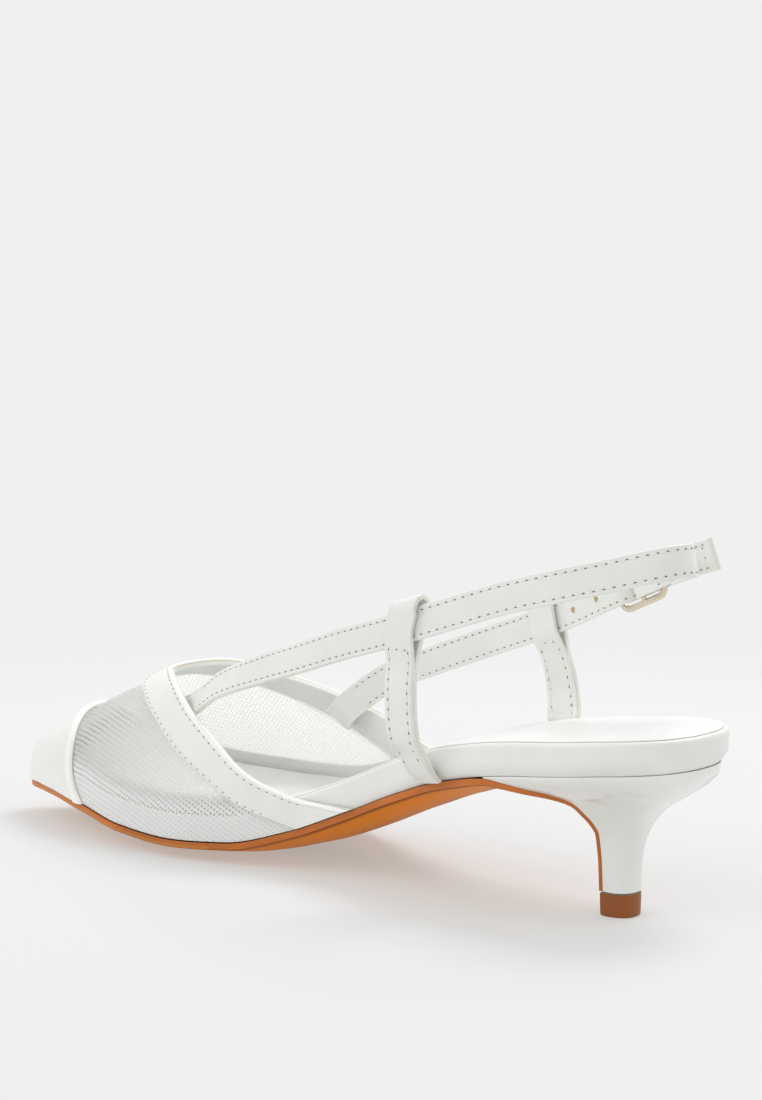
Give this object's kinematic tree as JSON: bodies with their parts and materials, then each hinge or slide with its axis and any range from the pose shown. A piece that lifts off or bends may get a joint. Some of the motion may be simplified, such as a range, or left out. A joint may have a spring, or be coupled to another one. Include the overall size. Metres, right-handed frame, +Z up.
{
  "type": "slingback sandal",
  "caption": "Slingback sandal with a mesh vamp, round toe cap, wide topline band, looped sling strap with a side buckle and a low flared heel.",
  "frame": {"origin": "centre of the bounding box in plan, on the floor that the heel and the forefoot stand on", "axes": "the toe points to -X and the heel to +X, the medial side is -Y, the lateral side with the buckle is +Y, +Z is up"},
  "size_m": [0.2448, 0.0699, 0.1],
  "materials": {
    "mesh": "fine white knitted mesh, see-through over the opening",
    "patent": "glossy white coated leather",
    "leather": "smooth off-white leather with a soft sheen",
    "sock": "smooth white lining leather",
    "sole": "glossy tan leather with a brown stained edge",
    "top_piece": "smooth brown",
    "metal": "polished pale metal"
  },
  "bodies": {
    "root": {"vamp": "mesh", "toe_cap": "patent", "topline_band": "leather", "footbed": "leather", "insole_sock": "sock", "outsole": "sole", "heel": "patent", "top_piece": "top_piece", "sling_strap": "leather", "buckle_strap": "leather", "loop_medial": "leather", "loop_lateral": "leather", "buckle": "metal", "prong": "metal"}
  },
  "joints": []
}
